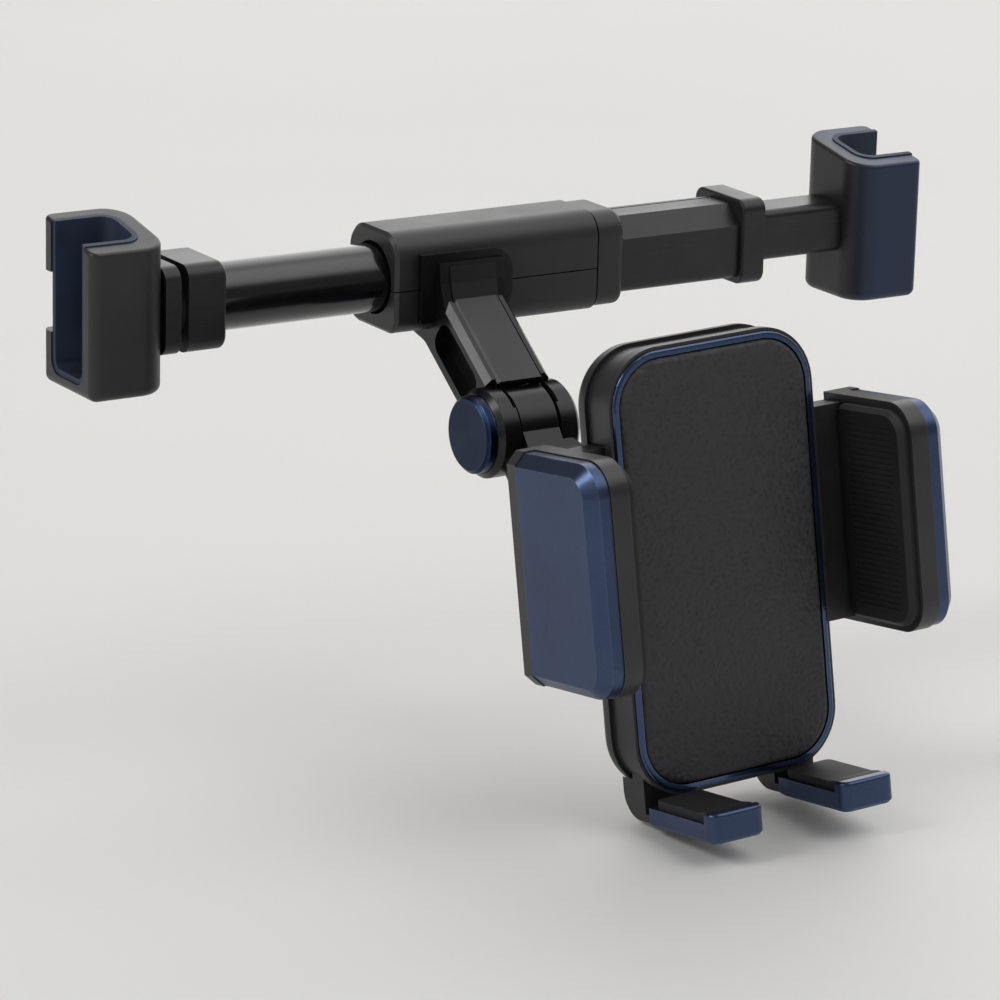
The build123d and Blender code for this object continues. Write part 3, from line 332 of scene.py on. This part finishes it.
looks = {
    "hook_black": plastic("hook plastic", (0.016, 0.016, 0.017), (0.026, 0.026, 0.028), 0.4),
    "liner_navy": rubber("navy liner", (0.014, 0.024, 0.055), (0.022, 0.036, 0.078)),
    "tube_black": metal("black lacquer", (0.003, 0.003, 0.004), (0.005, 0.005, 0.006), 0.2, 0.2,
                        (0.05, 1, 1), 0.6),
    "bar_grey": metal("dark grey metal", (0.02, 0.02, 0.022), (0.032, 0.032, 0.034), 0.36, 0.4, (0.08, 1, 1)),
    "housing_black": plastic("housing plastic", (0.015, 0.015, 0.016), (0.024, 0.024, 0.025), 0.42),
    "arm_black": metal("arm metal", (0.004, 0.004, 0.005), (0.007, 0.007, 0.008), 0.27, 0.3),
    "cover_black": plastic("cover plastic", (0.004, 0.004, 0.005), (0.007, 0.007, 0.008), 0.4),
    "knob_blue": spun("spun blue", local_centre(nodes["clamp_knob"])),
    "steel": metal("zinc steel", (0.35, 0.36, 0.38), (0.5, 0.51, 0.53), 0.3, 1.0),
    "washer": plastic("washer plastic", (0.2, 0.2, 0.2), (0.34, 0.34, 0.34), 0.5),
    "cradle_grey": plastic("cradle plastic", (0.017, 0.017, 0.018), (0.027, 0.027, 0.029), 0.38),
    "trim_blue": metal("blue trim", (0.03, 0.052, 0.12), (0.045, 0.075, 0.165), 0.18, 0.9, coat=0.5),
    "pad_black": leatherette("pebbled pad"),
    "jaw_blue": metal("blue satin", (0.048, 0.07, 0.135), (0.062, 0.09, 0.17), 0.33, 0.9),
    "jaw_black": plastic("jaw plastic", (0.02, 0.02, 0.021), (0.032, 0.032, 0.033), 0.36),
    "rubber_black": rubber("black rubber", (0.006, 0.006, 0.007), (0.011, 0.011, 0.012)),
    "gear_white": plastic("gear plastic", (0.6, 0.6, 0.57), (0.74, 0.74, 0.7), 0.4),
}


def soften(obj):
    """Rounds the sharp edges of a piece."""
    edge = obj.modifiers.new("soft edges", "BEVEL")
    edge.width = SOFT_EDGE
    edge.segments = SOFT_STEPS
    edge.limit_method = "ANGLE"
    edge.angle_limit = math.radians(SOFT_ANGLE)
    edge.harden_normals = True


def dress(obj, material):
    """Gives a piece its one material."""
    obj.data.materials.clear()
    obj.data.materials.append(material)


for name, obj in nodes.items():
    dress(obj, looks[slot_of[name]])
    soften(obj)

# The right hook's front gets a painted navy reflection, placed by its position along X
hook = nodes["right_hook_shell"]
hook_x = local_centre(hook).x
dress(hook, painted_navy_sheen("right hook plastic", (0.013, 0.013, 0.014), (0.03, 0.042, 0.082),
                     hook_x - NAVY_SHEEN_START, hook_x - NAVY_SHEEN_FULL))


def rounded_outline(width, height, corner, inset):
    """Points of a rounded rectangle in x and z, shrunk by inset."""
    corner = max(corner - inset, PAD_LEAST_CORNER)
    w, h = width / 2 - inset - corner, height / 2 - inset - corner
    points = []
    for cx, cz, start in ((w, h, 0), (-w, h, 90), (-w, -h, 180), (w, -h, 270)):
        for i in range(CORNER_STEPS + 1):
            a = math.radians(start + 90 * i / CORNER_STEPS)
            points.append((cx + corner * math.cos(a), cz + corner * math.sin(a)))
    return points


def pad_rings():
    """Inset and depth of each ring, from the back edge over the round to the domed face."""
    rings = [(0.0, PAD_BACK), (0.0, PAD_FACE + PAD_ROUND)]
    for i in range(1, PAD_ROUND_STEPS + 1):
        a = math.radians(90 * i / PAD_ROUND_STEPS)
        rings.append((PAD_ROUND * (1 - math.cos(a)), PAD_FACE + PAD_ROUND * (1 - math.sin(a))))
    for step in PAD_DOME_STEPS:
        swell = 1 - math.exp(-(step - PAD_ROUND) / PAD_DOME_REACH)
        rings.append((step, PAD_FACE - PAD_DOME * swell))
    return rings


def make_pad():
    """Closed mesh of the pad, placed in the cradle."""
    mesh = bpy.data.meshes.new("pad skin")
    bm = bmesh.new()
    loops = []
    for inset, y in pad_rings():
        ring = rounded_outline(PAD_W, PAD_H, PAD_CORNER, inset)
        loops.append([bm.verts.new(CRADLE @ (Vector((x, y, z)) * MM)) for x, z in ring])
    for first, second in zip(loops, loops[1:]):
        for i in range(len(first)):
            j = (i + 1) % len(first)
            bm.faces.new((first[i], first[j], second[j], second[i]))
    bm.faces.new(loops[-1])
    bm.faces.new(list(reversed(loops[0])))
    bmesh.ops.recalc_face_normals(bm, faces=bm.faces)
    bm.to_mesh(mesh)
    bm.free()
    for face in mesh.polygons:
        face.use_smooth = True
    made = bpy.data.objects.new("pad_skin", mesh)
    bpy.context.collection.objects.link(made)
    made.data.materials.append(looks["pad_black"])
    return made


pad_skin = make_pad()
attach(pad_skin, "cradle")
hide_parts("front_pad")


def paper():
    """Plain pale paper with faint clouds and grain."""
    s = Shader("paper")
    clouds = s.spread(s.noise(FLOOR_CLOUDS, 3.0), 0, 1)
    s.colour(s.blend(clouds, (0.79, 0.785, 0.77), (0.82, 0.815, 0.80)))
    s.roughness(s.noise(FLOOR_SHEEN, 3.0), 0.55, 0.7)
    s.bump(s.noise(FLOOR_GRAIN, 3.0), 0.15, FLOOR_DEPTH)
    return s.mat


def make_floor():
    """Floor plane just under the lowest point of the part."""
    bpy.ops.mesh.primitive_plane_add(size=FLOOR_SIZE, location=(0, 0, cad_box[0][2] - FLOOR_GAP))
    made = bpy.context.object
    made.name = "floor"
    made.data.materials.append(paper())
    return made


floor = make_floor()


def studio_sky():
    """World light of the base and the patches added up."""
    world = bpy.data.worlds.new("studio")
    bpy.context.scene.world = world
    world.use_nodes = True
    tree = world.node_tree
    background = tree.nodes["Background"]
    background.inputs["Color"].default_value = SKY_COLOUR
    direction = tree.nodes.new("ShaderNodeTexCoord").outputs["Generated"]
    total = None
    for aim, start, full, brightness in SKY_PATCHES:
        dot = tree.nodes.new("ShaderNodeVectorMath")
        dot.operation = "DOT_PRODUCT"
        dot.inputs[1].default_value = Vector(aim).normalized()
        tree.links.new(direction, dot.inputs[0])
        patch = tree.nodes.new("ShaderNodeMapRange")
        patch.interpolation_type = "SMOOTHSTEP"
        patch.inputs["From Min"].default_value = math.cos(math.radians(start))
        patch.inputs["From Max"].default_value = math.cos(math.radians(full))
        patch.inputs["To Max"].default_value = brightness
        tree.links.new(dot.outputs["Value"], patch.inputs["Value"])
        add = tree.nodes.new("ShaderNodeMath")
        add.operation = "ADD"
        add.inputs[1].default_value = SKY_BASE
        tree.links.new(patch.outputs["Result"], add.inputs[0])
        if total is not None:
            tree.links.new(total, add.inputs[1])
        total = add.outputs[0]
    tree.links.new(total, background.inputs["Strength"])


studio_sky()


def make_camera():
    """Camera at the place where the photograph was taken."""
    data = bpy.data.cameras.new("camera")
    data.lens = LENS
    data.sensor_width = SENSOR_WIDTH
    data.clip_start = CLIP_NEAR
    data.clip_end = CLIP_FAR
    camera = bpy.data.objects.new("camera", data)
    bpy.context.collection.objects.link(camera)
    camera.matrix_world = Matrix.Translation(CAMERA_PLACE) @ Matrix(CAMERA_AXES).transposed().to_4x4()
    bpy.context.scene.camera = camera


make_camera()
bpy.context.scene.view_settings.view_transform = "Standard"
